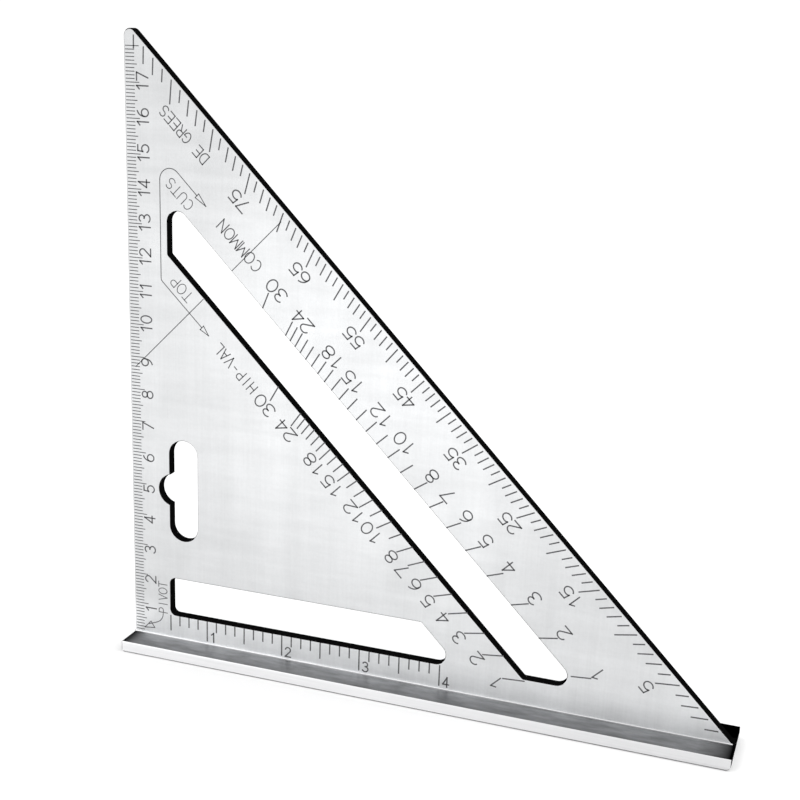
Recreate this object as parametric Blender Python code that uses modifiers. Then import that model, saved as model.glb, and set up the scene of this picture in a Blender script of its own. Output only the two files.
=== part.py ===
"""Speed square: a triangular aluminium blade seated in a grooved fence and held by blind pins.

Frame: metres, +Z up. The square stands on its fence. X runs along the fence, from the
square (pivot) end to the tip, Y through the thickness of the blade, with the graduated
face towards -Y. The origin is the centre of the fence's underside.

Blade coordinates (u, v) start at the pivot corner: u along the fence, v up the leg from
the fence's bearing face. The sloping edge is the line u + v = BLADE_LEG.
"""

import math

import bmesh
import bpy

# Blade
BLADE_LEG = 0.1876
BLADE_THICKNESS = 0.0032
APEX_RADIUS = 0.0020

# Fence
FENCE_END_LAND = 0.0004  # how far it runs past the blade's tip
FENCE_WIDTH = 0.0210
FENCE_HEIGHT = 0.0034
FENCE_HEEL_RADIUS = 0.0008  # lower corner at the pivot end
FENCE_TIP_RADIUS = 0.0016  # lower corner at the tip end
GROOVE_DEPTH = 0.0015

# Rafter slot, parallel to the sloping edge
DEGREE_BAND = 0.0250  # blade left between the sloping edge and the slot
RAFTER_SLOT_WIDTH = 0.0122
RAFTER_SLOT_SIDE = 0.01325  # from the leg
RAFTER_SLOT_FOOT = 0.0082  # from the fence
RAFTER_SLOT_RADIUS = 0.0032  # the two sharp ends
SLOT_EASING = 0.0008  # the blunt corners

# Layout slot, parallel to the fence
LAYOUT_SLOT_SIDE = 0.0128
LAYOUT_SLOT_FOOT = 0.0079
LAYOUT_SLOT_HEIGHT = 0.0123
LAYOUT_BAND = 0.0138  # blade left between the two slots
LAYOUT_SLOT_RADIUS = 0.0018  # the two square corners
LAYOUT_TIP_RADIUS = 0.0031

# Hanging slot beside the leg, with a round bay on its leg side
HANG_SLOT_U = 0.01765
HANG_SLOT_V = 0.04935
HANG_SLOT_WIDTH = 0.0092
HANG_SLOT_LENGTH = 0.0321
HANG_BAY_RADIUS = 0.0050
HANG_BAY_OFFSET = 0.00325  # from the slot's centre line towards the leg

# Retaining pins, driven up through the fence into the foot of the blade
PIN_COUNT = 4
PIN_END_MARGIN = 0.0200
PIN_RADIUS = 0.0008
PIN_HEAD_RADIUS = 0.0017
PIN_HEAD_LAND = 0.0003
PIN_HEAD_RECESS = 0.0002
PIN_BITE = 0.0055  # length inside the blade
PIN_TIP_CHAMFER = 0.0003

FIT_GAP = 0.0003  # between pieces that touch
CUT_OVERRUN = 0.0010  # how far a cutter passes the surface it opens
ARC_STEP = math.radians(7.5)
TURNED_STEPS = 32

DIAGONAL = math.sqrt(2.0)
FENCE_LENGTH = BLADE_LEG + FENCE_END_LAND
BLADE_FOOT_V = FIT_GAP - GROOVE_DEPTH


def clear_scene():
    for item in list(bpy.data.objects):
        bpy.data.objects.remove(item, do_unlink=True)


def make_collection(name):
    collection = bpy.data.collections.new(name)
    bpy.context.scene.collection.children.link(collection)
    return collection


def make_material(name, colour, roughness):
    material = bpy.data.materials.new(name)
    material.use_nodes = True
    shader = material.node_tree.nodes["Principled BSDF"]
    shader.inputs["Base Color"].default_value = (*colour, 1.0)
    shader.inputs["Metallic"].default_value = 1.0
    shader.inputs["Roughness"].default_value = roughness
    return material


def arc(centre, radius, start, end):
    """Points of a circular arc, both ends included, about ARC_STEP apart."""
    count = max(2, math.ceil(abs(end - start) / ARC_STEP))
    angles = [start + (end - start) * i / count for i in range(count + 1)]
    return [(centre[0] + radius * math.cos(a), centre[1] + radius * math.sin(a)) for a in angles]


def fillet(before, corner, after, radius):
    """The arc that rounds one corner of an outline, tangent to both of its sides."""
    if radius <= 0.0:
        return [corner]
    towards_before = math.atan2(before[1] - corner[1], before[0] - corner[0])
    towards_after = math.atan2(after[1] - corner[1], after[0] - corner[0])
    opening = (towards_after - towards_before + math.pi) % (2.0 * math.pi) - math.pi
    middle = towards_before + opening / 2.0
    reach = radius / abs(math.sin(opening / 2.0))
    centre = (corner[0] + reach * math.cos(middle), corner[1] + reach * math.sin(middle))
    start = towards_before - math.copysign(math.pi / 2.0, opening)
    sweep = math.copysign(math.pi - abs(opening), opening)
    return arc(centre, radius, start, start - sweep)


def rounded_outline(corners):
    """Outline through (u, v, radius) corners, each rounded by its own radius."""
    points = []
    for i, (u, v, radius) in enumerate(corners):
        before = corners[i - 1][:2]
        after = corners[(i + 1) % len(corners)][:2]
        points += fillet(before, (u, v), after, radius)
    return points


def blade_outline():
    return rounded_outline([
        (0.0, BLADE_FOOT_V, 0.0),
        (BLADE_LEG, BLADE_FOOT_V, 0.0),
        (BLADE_LEG, 0.0, 0.0),
        (0.0, BLADE_LEG, APEX_RADIUS),
    ])


def rafter_slot_outline():
    outer = BLADE_LEG - DEGREE_BAND * DIAGONAL
    inner = outer - RAFTER_SLOT_WIDTH * DIAGONAL
    return rounded_outline([
        (inner - RAFTER_SLOT_FOOT, RAFTER_SLOT_FOOT, SLOT_EASING),
        (outer - RAFTER_SLOT_FOOT, RAFTER_SLOT_FOOT, RAFTER_SLOT_RADIUS),
        (RAFTER_SLOT_SIDE, outer - RAFTER_SLOT_SIDE, RAFTER_SLOT_RADIUS),
        (RAFTER_SLOT_SIDE, inner - RAFTER_SLOT_SIDE, SLOT_EASING),
    ])


def layout_slot_outline():
    rafter_edge = BLADE_LEG - (DEGREE_BAND + RAFTER_SLOT_WIDTH) * DIAGONAL
    slope = rafter_edge - LAYOUT_BAND * DIAGONAL
    top = LAYOUT_SLOT_FOOT + LAYOUT_SLOT_HEIGHT
    return rounded_outline([
        (LAYOUT_SLOT_SIDE, LAYOUT_SLOT_FOOT, LAYOUT_SLOT_RADIUS),
        (slope - LAYOUT_SLOT_FOOT, LAYOUT_SLOT_FOOT, LAYOUT_TIP_RADIUS),
        (slope - top, top, SLOT_EASING),
        (LAYOUT_SLOT_SIDE, top, LAYOUT_SLOT_RADIUS),
    ])


def hang_slot_outline():
    """An upright slot with round ends; its leg side opens into a round bay at mid height."""
    radius = HANG_SLOT_WIDTH / 2.0
    reach = HANG_SLOT_LENGTH / 2.0 - radius
    bay_u = HANG_SLOT_U - HANG_BAY_OFFSET
    half_mouth = math.acos((radius - HANG_BAY_OFFSET) / HANG_BAY_RADIUS)
    bay = arc((bay_u, HANG_SLOT_V), HANG_BAY_RADIUS, math.pi - half_mouth, math.pi + half_mouth)
    foot = arc((HANG_SLOT_U, HANG_SLOT_V - reach), radius, math.pi, 2.0 * math.pi)
    head = arc((HANG_SLOT_U, HANG_SLOT_V + reach), radius, 0.0, math.pi)
    return foot + head + bay


def fence_outline():
    """End-to-end section of the fence, in u and height above its underside."""
    return rounded_outline([
        (0.0, 0.0, FENCE_HEEL_RADIUS),
        (FENCE_LENGTH, 0.0, FENCE_TIP_RADIUS),
        (FENCE_LENGTH, FENCE_HEIGHT, 0.0),
        (0.0, FENCE_HEIGHT, 0.0),
    ])


def solid_from_outlines(name, outlines, thickness, base_height, collection):
    """Closed plate in the XZ plane, centred on Y = 0: the first outline less the others."""
    curve = bpy.data.curves.new(name, "CURVE")
    curve.dimensions = "2D"
    curve.fill_mode = "BOTH"
    curve.extrude = thickness / 2.0
    for outline in outlines:
        spline = curve.splines.new("POLY")
        spline.points.add(len(outline) - 1)
        for point, (u, v) in zip(spline.points, outline):
            point.co = (u, v, 0.0, 1.0)
        spline.use_cyclic_u = True
    drawn = bpy.data.objects.new(name + "_outline", curve)
    collection.objects.link(drawn)
    drawn.location = (-FENCE_LENGTH / 2.0, 0.0, base_height)
    drawn.rotation_euler = (math.pi / 2.0, 0.0, 0.0)
    bpy.context.view_layer.update()
    evaluated = drawn.evaluated_get(bpy.context.evaluated_depsgraph_get())
    mesh = bpy.data.meshes.new_from_object(evaluated)
    solid = bpy.data.objects.new(name, mesh)
    collection.objects.link(solid)
    solid.matrix_world = drawn.matrix_world
    bpy.data.objects.remove(drawn, do_unlink=True)
    weld(mesh)
    return solid


def weld(mesh):
    shape = bmesh.new()
    shape.from_mesh(mesh)
    bmesh.ops.remove_doubles(shape, verts=shape.verts, dist=1e-6)
    bmesh.ops.recalc_face_normals(shape, faces=shape.faces)
    shape.to_mesh(mesh)
    shape.free()


def make_box(name, size, centre, collection):
    mesh = bpy.data.meshes.new(name)
    shape = bmesh.new()
    bmesh.ops.create_cube(shape, size=1.0)
    bmesh.ops.scale(shape, vec=size, verts=shape.verts)
    shape.to_mesh(mesh)
    shape.free()
    box = bpy.data.objects.new(name, mesh)
    box.location = centre
    collection.objects.link(box)
    return box


def make_turned(name, profile, collection):
    """Turned solid: (radius, height) points from the top of the axis down to its bottom."""
    mesh = bpy.data.meshes.new(name)
    edges = [(i, i + 1) for i in range(len(profile) - 1)]
    mesh.from_pydata([(radius, 0.0, height) for radius, height in profile], edges, [])
    turned = bpy.data.objects.new(name, mesh)
    collection.objects.link(turned)
    screw = turned.modifiers.new("turn", "SCREW")
    screw.axis = "Z"
    screw.angle = 2.0 * math.pi
    screw.steps = TURNED_STEPS
    screw.render_steps = TURNED_STEPS
    screw.use_merge_vertices = True
    screw.merge_threshold = 0.00001
    return turned


def pin_profile(gap, overrun):
    """Countersunk pin; with a gap and an overrun it is the hole that the pin sits in."""
    top = FENCE_HEIGHT + BLADE_FOOT_V + PIN_BITE + gap
    shank = PIN_RADIUS + gap
    head = PIN_HEAD_RADIUS + gap
    land = PIN_HEAD_RECESS + PIN_HEAD_LAND
    neck = land + PIN_HEAD_RADIUS - PIN_RADIUS
    return [
        (0.0, top),
        (shank - PIN_TIP_CHAMFER, top),
        (shank, top - PIN_TIP_CHAMFER),
        (shank, neck),
        (head, land),
        (head, PIN_HEAD_RECESS - overrun),
        (0.0, PIN_HEAD_RECESS - overrun),
    ]


def pin_places():
    """X of each pin, evenly spaced between the two end margins."""
    span = FENCE_LENGTH - 2.0 * PIN_END_MARGIN
    start = PIN_END_MARGIN - FENCE_LENGTH / 2.0
    return [start + span * i / (PIN_COUNT - 1) for i in range(PIN_COUNT)]


def subtract(solid, cutter):
    cut = solid.modifiers.new("cut_" + cutter.name, "BOOLEAN")
    cut.operation = "DIFFERENCE"
    cut.solver = "EXACT"
    cut.object = cutter
    cutter.hide_render = True
    cutter.display_type = "WIRE"


def make_blade(parts, metal):
    outlines = [blade_outline(), rafter_slot_outline(), layout_slot_outline(), hang_slot_outline()]
    blade = solid_from_outlines("blade", outlines, BLADE_THICKNESS, FENCE_HEIGHT, parts)
    blade.data.materials.append(metal)
    return blade


def make_fence(parts, cutters, metal):
    fence = solid_from_outlines("fence", [fence_outline()], FENCE_WIDTH, 0.0, parts)
    fence.data.materials.append(metal)
    size = (
        FENCE_LENGTH + 2.0 * CUT_OVERRUN,
        BLADE_THICKNESS + 2.0 * FIT_GAP,
        GROOVE_DEPTH + CUT_OVERRUN,
    )
    centre_height = FENCE_HEIGHT - GROOVE_DEPTH + size[2] / 2.0
    groove = make_box("blade_groove", size, (0.0, 0.0, centre_height), cutters)
    subtract(fence, groove)
    return fence


def make_pins(parts, cutters, blade, fence, metal):
    for number, x in enumerate(pin_places(), start=1):
        pin = make_turned(f"retaining_pin_{number}", pin_profile(0.0, 0.0), parts)
        pin.data.materials.append(metal)
        pin.location.x = x
        hole = make_turned(f"pin_hole_{number}", pin_profile(FIT_GAP, CUT_OVERRUN), cutters)
        hole.location.x = x
        subtract(blade, hole)
        subtract(fence, hole)


def shade(parts):
    for item in parts.objects:
        item.data.shade_smooth()
        item.data.set_sharp_from_angle(angle=math.radians(30.0))


def main():
    clear_scene()
    parts = make_collection("speed_square")
    cutters = make_collection("cutters")
    blade = make_blade(parts, make_material("satin_aluminium", (0.80, 0.80, 0.81), 0.35))
    fence = make_fence(parts, cutters, make_material("extruded_aluminium", (0.72, 0.72, 0.73), 0.40))
    make_pins(parts, cutters, blade, fence, make_material("pin_steel", (0.55, 0.55, 0.56), 0.30))
    shade(parts)


main()
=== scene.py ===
# %% [markdown]
# # A rafter square and its finishes
# A rafter square is a roofer's triangle: a flat aluminium blade stands in a groove along a
# narrow fence, the fence hooks over the edge of a board, and scales marked on the blade
# give lengths, degrees and rafter pitches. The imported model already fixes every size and
# place, so this notebook only adds the looks: broken edges, metal finishes, the scales,
# a pale stage, soft light and a camera. Everything is in metres, with Z up.

import math

import bpy
import numpy as np
from mathutils import Matrix, Vector
from mathutils.geometry import delaunay_2d_cdt


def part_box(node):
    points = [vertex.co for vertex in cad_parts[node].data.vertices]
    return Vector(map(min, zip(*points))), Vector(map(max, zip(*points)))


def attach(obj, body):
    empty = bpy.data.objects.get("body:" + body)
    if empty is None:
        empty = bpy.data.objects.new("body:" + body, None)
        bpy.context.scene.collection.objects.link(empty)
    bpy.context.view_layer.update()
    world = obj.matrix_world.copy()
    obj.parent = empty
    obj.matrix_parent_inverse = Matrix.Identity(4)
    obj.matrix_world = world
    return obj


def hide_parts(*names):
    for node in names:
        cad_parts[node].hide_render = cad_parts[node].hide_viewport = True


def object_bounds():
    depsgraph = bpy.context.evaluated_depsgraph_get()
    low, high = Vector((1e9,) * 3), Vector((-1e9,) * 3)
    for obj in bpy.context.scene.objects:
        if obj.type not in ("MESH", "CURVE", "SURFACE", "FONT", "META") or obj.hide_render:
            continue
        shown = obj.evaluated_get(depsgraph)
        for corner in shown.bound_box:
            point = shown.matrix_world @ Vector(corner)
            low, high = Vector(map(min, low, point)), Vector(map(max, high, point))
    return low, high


MM = 0.001
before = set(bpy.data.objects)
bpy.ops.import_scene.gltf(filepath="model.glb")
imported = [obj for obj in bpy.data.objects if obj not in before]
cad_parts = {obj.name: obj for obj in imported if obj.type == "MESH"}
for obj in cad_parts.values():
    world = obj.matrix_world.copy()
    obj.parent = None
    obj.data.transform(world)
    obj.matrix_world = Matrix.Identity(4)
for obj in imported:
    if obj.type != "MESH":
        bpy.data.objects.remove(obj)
cad_low, cad_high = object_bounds()
print("CAD box in mm:", [round(1000 * side, 1) for side in cad_high - cad_low])

# %% [markdown]
# ## Where things are
# The blade is measured from its pivot, the corner where the leg meets the fence: u runs
# along the fence and v runs up the leg. Both start at the pivot, so a place on the blade
# is two numbers, as it is on the real tool. The pivot itself comes from the boxes of the
# blade and the fence.

# %% Blade coordinates
blade_low, blade_high = (np.array(corner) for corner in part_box("blade"))
fence_low, fence_high = (np.array(corner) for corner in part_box("fence"))
PIVOT = np.array([blade_low[0], fence_high[2]])
LEG = blade_high[0] - blade_low[0]
FRONT_Y, BACK_Y = blade_low[1], blade_high[1]


def on_blade(places, y):
    """Points in the frame for (u, v) places: x = pivot x + u, z = pivot z + v, at a given y."""
    x, z = (np.asarray(places) + PIVOT).T
    return np.stack([x, np.broadcast_to(y, x.shape), z], axis=1)


print("leg in mm:", round(1000 * LEG, 1), "pivot at", PIVOT)

# %% [markdown]
# ## The camera
# The tool is seen from its right and from a little above, near enough for the fence to
# spread towards the lower right. A view is easiest to reason about as a point to look at,
# two angles and a distance, and the camera's own axes then follow from two cross products.

# %% Camera
LOOK_AT = on_blade([(80.665 * MM, 72.757 * MM)], FRONT_Y)[0]
AZIMUTH, ELEVATION, ROLL = np.radians([19.4509, 17.0056, 1.8891])
DISTANCE = 403.660 * MM
LENS = 63.4569
SHIFT = (0.025, 0.05625)

backward = np.array([
    math.sin(AZIMUTH) * math.cos(ELEVATION),
    -math.cos(AZIMUTH) * math.cos(ELEVATION),
    math.sin(ELEVATION),
])
level_right = np.cross(-backward, (0.0, 0.0, 1.0))
level_right /= np.linalg.norm(level_right)
level_up = np.cross(level_right, -backward)
right = math.cos(ROLL) * level_right + math.sin(ROLL) * level_up
up = math.cos(ROLL) * level_up - math.sin(ROLL) * level_right

camera_data = bpy.data.cameras.new("camera")
camera_data.lens = LENS
camera_data.sensor_width = 36.0
camera_data.shift_x, camera_data.shift_y = SHIFT
camera_data.clip_start = 0.01
camera_data.clip_end = 100.0
camera = bpy.data.objects.new("camera", camera_data)
bpy.context.scene.collection.objects.link(camera)
axes = np.column_stack([right, up, backward, LOOK_AT + DISTANCE * backward])
camera.matrix_world = Matrix([*axes.tolist(), (0.0, 0.0, 0.0, 1.0)])
bpy.context.scene.camera = camera
print("camera at", np.round(LOOK_AT + DISTANCE * backward, 3))

# %% [markdown]
# ## Colours, nodes and meshes
# Paint charts give colours as sRGB hex, and Blender's sockets want linear light, so one
# function stands between them. A second one adds any node with its settings and links.
# Meshes come from whole arrays: a grid of points needs only the rule that joins each
# point to its neighbours.

# %% Helpers for colours and nodes
def linear(hex_colour):
    """Linear red, green, blue and alpha of an sRGB hex colour, by the sRGB curve."""
    shares = np.array([int(hex_colour[i:i + 2], 16) for i in (1, 3, 5)]) / 255
    curved = np.where(shares <= 0.04045, shares / 12.92, ((shares + 0.055) / 1.055) ** 2.4)
    return (*curved, 1.0)


def add_node(tree, kind, settings, sockets):
    """Adds a node. A socket's value is a number, a colour, or the output that feeds it."""
    made = tree.nodes.new(kind)
    for name, value in settings.items():
        setattr(made, name, value)
    for name, value in sockets.items():
        if isinstance(value, bpy.types.NodeSocket):
            tree.links.new(value, made.inputs[name])
        else:
            made.inputs[name].default_value = value
    return made


def new_finish(name):
    """An empty material. Returns it, its node tree and the object's coordinates in millimetres."""
    material = bpy.data.materials.new(name)
    material.use_nodes = True
    tree = material.node_tree
    tree.nodes.clear()
    place = add_node(tree, "ShaderNodeTexCoord", {}, {})
    in_mm = add_node(tree, "ShaderNodeVectorMath", {"operation": "SCALE"},
                     {0: place.outputs["Object"], "Scale": 1 / MM})
    return material, tree, in_mm.outputs[0]


def set_surface(tree, sockets):
    """Ends a node tree with one Principled shader."""
    shader = add_node(tree, "ShaderNodeBsdfPrincipled", {}, sockets)
    add_node(tree, "ShaderNodeOutputMaterial", {}, {"Surface": shader.outputs[0]})
    print("finish with", len(tree.nodes), "nodes")


print("mid grey #808080 in linear light:", round(linear("#808080")[0], 3))

# %% Helpers for meshes
def grid_quads(rows, columns, close_rows=False, close_columns=False):
    """Quads of a grid of points numbered row by row. A closed direction joins its end to its start."""
    row = np.arange(rows - (not close_rows))[:, None]
    column = np.arange(columns - (not close_columns))[None, :]
    next_row = (row + 1) % rows
    next_column = (column + 1) % columns
    corners = [row * columns + column, row * columns + next_column,
               next_row * columns + next_column, next_row * columns + column]
    return np.stack(corners, axis=-1).reshape(-1, 4)


def inset(outline, distance):
    """A closed outline moved towards its left by distance: each corner slides along its
    bisector, (a + b) / (1 + a.b) for the unit left normals a and b of its two sides."""
    along = np.roll(outline, -1, axis=0) - outline
    along = along / np.linalg.norm(along, axis=1, keepdims=True)
    left = np.stack([-along[:, 1], along[:, 0]], axis=1)
    before = np.roll(left, 1, axis=0)
    bisector = (left + before) / (1 + (left * before).sum(axis=1, keepdims=True))
    return outline + distance * bisector


def fill(rings):
    """Triangles of the flat region inside the first ring and outside the others, as indices
    into the rings' points taken in order. It is a constrained Delaunay triangulation."""
    points = [Vector(point) for point in np.vstack(rings) / MM]
    ends = np.cumsum([len(ring) for ring in rings])
    loops = [list(range(end - len(ring), end)) for end, ring in zip(ends, rings)]
    intersected_without_holes = 2
    made = delaunay_2d_cdt(points, [], loops, intersected_without_holes, 1e-6)
    first_original = np.array([group[0] for group in made[3]])
    return first_original[np.array(made[2])]


print("quads of a tube of 3 rings of 4 points:", len(grid_quads(3, 4, close_columns=True)))


# %% Making and settling a piece
def make_piece(name, points, faces, finishes, finish_of_face, smooth):
    """A mesh object at the origin. finishes are its materials, and each face has its own
    index into them and its own smooth flag."""
    mesh = bpy.data.meshes.new(name)
    mesh.from_pydata(np.asarray(points).tolist(), [], faces)
    for finish in finishes:
        mesh.materials.append(finish)
    mesh.polygons.foreach_set("material_index", np.asarray(finish_of_face, np.int32))
    mesh.polygons.foreach_set("use_smooth", np.asarray(smooth, bool))
    mesh.update()
    piece = bpy.data.objects.new(name, mesh)
    bpy.context.scene.collection.objects.link(piece)
    return piece


def settle(piece, slot, *nodes):
    """Puts a finished piece on the part: under its body, the root, with the nodes it stands for hidden. The
    slot argument is not used.
    """
    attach(piece, "root")
    if nodes:
        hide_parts(*nodes)
    triangles = sum(len(polygon.vertices) - 2 for polygon in piece.data.polygons)
    print(f"{piece.name}: {triangles} triangles")


# %% [markdown]
# ## Finish of the blade's faces
# The blade is rolled aluminium sheet with a satin finish: an abrasive belt leaves hair
# lines a few hundredths of a millimetre apart, and they turn the mirror of bare metal into
# a soft pale sheen. Hair lines that fine can't show at this size, so they are drawn about
# six tenths of a millimetre wide. Broad clouds and level smears stand for uneven pressure
# of the belt and for handling. A broad patch beside the sloping edge is painted brighter,
# a painted highlight. Along the fence, where the belt doesn't reach, the metal is rougher,
# and its colour is painted paler, painted light that lifts the shade of the fence.

# %% Satin aluminium
MILL_AND_LIFT_STRIP = 14.0  # mm above the fence in which the rougher mill finish and the painted light fade into the satin
# Middle and reach of the painted highlight on the blade's face.
GLOW_MIDDLE = (74 * MM, 100 * MM)
GLOW_HALF_LENGTH, GLOW_HALF_WIDTH = 125.0, 105.0  # mm along and across the sloping edge


def satin_aluminium():
    """Pale satin metal: nearly white, with faint clouds, upright hair lines and level smears, a painted
    highlight in a broad patch and painted light near the fence.
    """
    material, tree, mm = new_finish("satin_rolled_aluminium")
    clouds = add_node(tree, "ShaderNodeTexNoise", {},
                      {"Vector": mm, "Scale": 1 / 26, "Detail": 5.0, "Roughness": 0.55})
    along_leg = add_node(tree, "ShaderNodeMapping", {},
                         {"Vector": mm, "Scale": (1.0, 1.0, 0.03)})
    hairs = add_node(tree, "ShaderNodeTexNoise", {},
                     {"Vector": along_leg.outputs[0], "Scale": 1 / 0.6, "Detail": 3.0, "Roughness": 0.6})
    streaks = add_node(tree, "ShaderNodeTexNoise", {},
                       {"Vector": along_leg.outputs[0], "Scale": 1 / 5, "Detail": 2.0, "Roughness": 0.5})
    across_leg = add_node(tree, "ShaderNodeMapping", {},
                          {"Vector": mm, "Rotation": (0.0, math.radians(-8), 0.0), "Scale": (0.12, 1.0, 1.0)})
    smears = add_node(tree, "ShaderNodeTexNoise", {},
                      {"Vector": across_leg.outputs[0], "Scale": 1 / 4, "Detail": 4.0, "Roughness": 0.6})
    grit = add_node(tree, "ShaderNodeTexNoise", {},
                    {"Vector": mm, "Scale": 1 / 0.9, "Detail": 2.0, "Roughness": 0.6})
    cloud_shade = add_node(tree, "ShaderNodeMapRange", {},
                           {"Value": clouds.outputs[0], "From Min": 0.3, "From Max": 0.7,
                            "To Min": 0.93, "To Max": 1.05})
    smear_shade = add_node(tree, "ShaderNodeMapRange", {},
                           {"Value": smears.outputs[0], "From Min": 0.3, "From Max": 0.7,
                            "To Min": 0.955, "To Max": 1.035})
    grit_shade = add_node(tree, "ShaderNodeMapRange", {},
                          {"Value": grit.outputs[0], "From Min": 0.3, "From Max": 0.7,
                           "To Min": 0.985, "To Max": 1.015})
    streak_shade = add_node(tree, "ShaderNodeMapRange", {},
                            {"Value": streaks.outputs[0], "From Min": 0.3, "From Max": 0.7,
                             "To Min": 0.975, "To Max": 1.02})
    hair_shade = add_node(tree, "ShaderNodeMapRange", {},
                          {"Value": hairs.outputs[0], "From Min": 0.3, "From Max": 0.7,
                           "To Min": 0.98, "To Max": 1.015})
    height = add_node(tree, "ShaderNodeSeparateXYZ", {}, {"Vector": mm})
    near_fence = add_node(tree, "ShaderNodeMapRange", {"interpolation_type": "SMOOTHSTEP"},
                          {"Value": height.outputs["Z"], "From Min": PIVOT[1] / MM,
                           "From Max": PIVOT[1] / MM + MILL_AND_LIFT_STRIP, "To Min": 1.0, "To Max": 0.0})
    towards_tip = add_node(tree, "ShaderNodeMapRange", {"interpolation_type": "SMOOTHSTEP"},
                           {"Value": height.outputs["X"], "From Min": -60, "From Max": 60,
                            "To Min": 0.5, "To Max": 0.3})
    # Painted light: near the fence the colour is made up to half again as bright, less towards the tip,
    # lifting the shade the fence throws on the blade.
    painted_lift = add_node(tree, "ShaderNodeMath", {"operation": "MULTIPLY_ADD"},
                           {0: near_fence.outputs[0], 1: towards_tip.outputs[0], 2: 1.0})
    # Painted highlight: a broad patch beside the sloping edge is made up to a quarter brighter, a glow of
    # reflected light painted into the colour.
    glow_centre = on_blade([GLOW_MIDDLE], FRONT_Y)[0] / MM
    in_glow = add_node(tree, "ShaderNodeMapping", {"vector_type": "TEXTURE"},
                        {"Vector": mm, "Location": glow_centre, "Rotation": (0.0, math.radians(45), 0.0),
                         "Scale": (GLOW_HALF_LENGTH, 1000.0, GLOW_HALF_WIDTH)})
    from_middle = add_node(tree, "ShaderNodeVectorMath", {"operation": "LENGTH"}, {0: in_glow.outputs[0]})
    painted_glow = add_node(tree, "ShaderNodeMapRange", {"interpolation_type": "SMOOTHSTEP"},
                            {"Value": from_middle.outputs["Value"], "To Min": 1.26, "To Max": 1.0})
    shade = painted_lift
    for layer in (painted_glow, cloud_shade, streak_shade, smear_shade, hair_shade, grit_shade):
        shade = add_node(tree, "ShaderNodeMath", {"operation": "MULTIPLY"},
                         {0: shade.outputs[0], 1: layer.outputs[0]})
    tint = add_node(tree, "ShaderNodeVectorMath", {"operation": "SCALE"},
                    {0: linear("#d2d3d4")[:3], "Scale": shade.outputs[0]})
    belt_rough = add_node(tree, "ShaderNodeMapRange", {},
                          {"Value": clouds.outputs[0], "From Min": 0.3, "From Max": 0.7,
                           "To Min": 0.30, "To Max": 0.38})
    rough = add_node(tree, "ShaderNodeMath", {"operation": "MULTIPLY_ADD"},
                     {0: near_fence.outputs[0], 1: 0.3, 2: belt_rough.outputs[0]})
    grain = add_node(tree, "ShaderNodeBump", {},
                     {"Height": hairs.outputs[0], "Strength": 0.25, "Distance": 0.01 * MM})
    set_surface(tree, {"Base Color": tint.outputs[0], "Metallic": 1.0,
                       "Roughness": rough.outputs[0], "Normal": grain.outputs[0]})
    return material


satin = satin_aluminium()

# %% [markdown]
# ## Painted black of the cut walls
# The outside and the slots are cut through the sheet, and their walls are painted nearly
# black: a painted dark reflection, standing for the dark surroundings a bare wall mirrors.
# That dark line beside the pale face gives the tool its crisp outline. A matt, nearly black
# coat with faint cutter lines does it, with no metal in it, because metal keeps a bright rim
# however dark its colour.

# %% Painted black for the cut walls
def dark_cut_edge():
    """Matt black, a painted dark reflection, with faint lines across the wall, which catch a little light
    when seen along it.
    """
    material, tree, mm = new_finish("dark_cut_edge")
    across = add_node(tree, "ShaderNodeMapping", {}, {"Vector": mm, "Scale": (1.0, 0.1, 1.0)})
    lines = add_node(tree, "ShaderNodeTexNoise", {},
                     {"Vector": across.outputs[0], "Scale": 1 / 0.5, "Detail": 3.0})
    shade = add_node(tree, "ShaderNodeMapRange", {},
                     {"Value": lines.outputs[0], "From Min": 0.3, "From Max": 0.7,
                      "To Min": 0.6, "To Max": 1.6})
    tint = add_node(tree, "ShaderNodeVectorMath", {"operation": "SCALE"},
                    {0: linear("#090909")[:3], "Scale": shade.outputs[0]})
    ridges = add_node(tree, "ShaderNodeBump", {},
                      {"Height": lines.outputs[0], "Strength": 0.3, "Distance": 0.02 * MM})
    set_surface(tree, {"Base Color": tint.outputs[0], "Roughness": 0.6,
                       "Specular IOR Level": 0.0, "Normal": ridges.outputs[0]})
    return material


painted_black = dark_cut_edge()

# %% [markdown]
# ## The blade
# The blade is one cut plate with three openings: the long rafter slot beside the sloping
# edge, the layout slot above the fence and the keyhole slot it hangs by. A plate with
# sharp corners looks like paper, so every edge is broken to a small radius. The outlines
# are read from the CAD blade itself: on a flat face, an edge that belongs to only one
# triangle is an edge of the plate. One profile, a quarter circle, the straight wall and a
# second quarter circle, is then carried round each outline, and the two faces are filled.

# %% Outlines of the CAD blade
def merged_mesh(node):
    """Points and triangles of a CAD node, with the points that its loose triangles share merged."""
    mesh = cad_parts[node].data
    mesh.calc_loop_triangles()
    points = np.empty(3 * len(mesh.vertices), np.float32)
    mesh.vertices.foreach_get("co", points)
    triangles = np.empty(3 * len(mesh.loop_triangles), np.int32)
    mesh.loop_triangles.foreach_get("vertices", triangles)
    nearest = np.round(points.reshape(-1, 3).astype(float), 6)
    places, merged = np.unique(nearest, axis=0, return_inverse=True)
    return places, merged.reshape(-1)[triangles.reshape(-1, 3)]


def plate_outlines(node):
    """Closed (x, z) outlines of a plate's face towards -Y, each with the metal on its left:
    the outer one first, then the openings."""
    places, triangles = merged_mesh(node)
    on_face = (np.abs(places[triangles][:, :, 1] - FRONT_Y) < 1e-5).all(axis=1)
    sides = triangles[on_face][:, [[0, 1], [1, 2], [2, 0]]].reshape(-1, 2)
    both_ways = {tuple(side) for side in sides.tolist()}
    following = {a: b for a, b in both_ways if (b, a) not in both_ways}
    outlines = []
    while following:
        walk = [next(iter(following))]
        while walk[-1] in following:
            walk.append(following.pop(walk[-1]))
        outlines.append(places[walk[:-1]][:, [0, 2]])
    return sorted(outlines, key=lambda outline: -np.ptp(outline, axis=0).sum())


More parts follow.
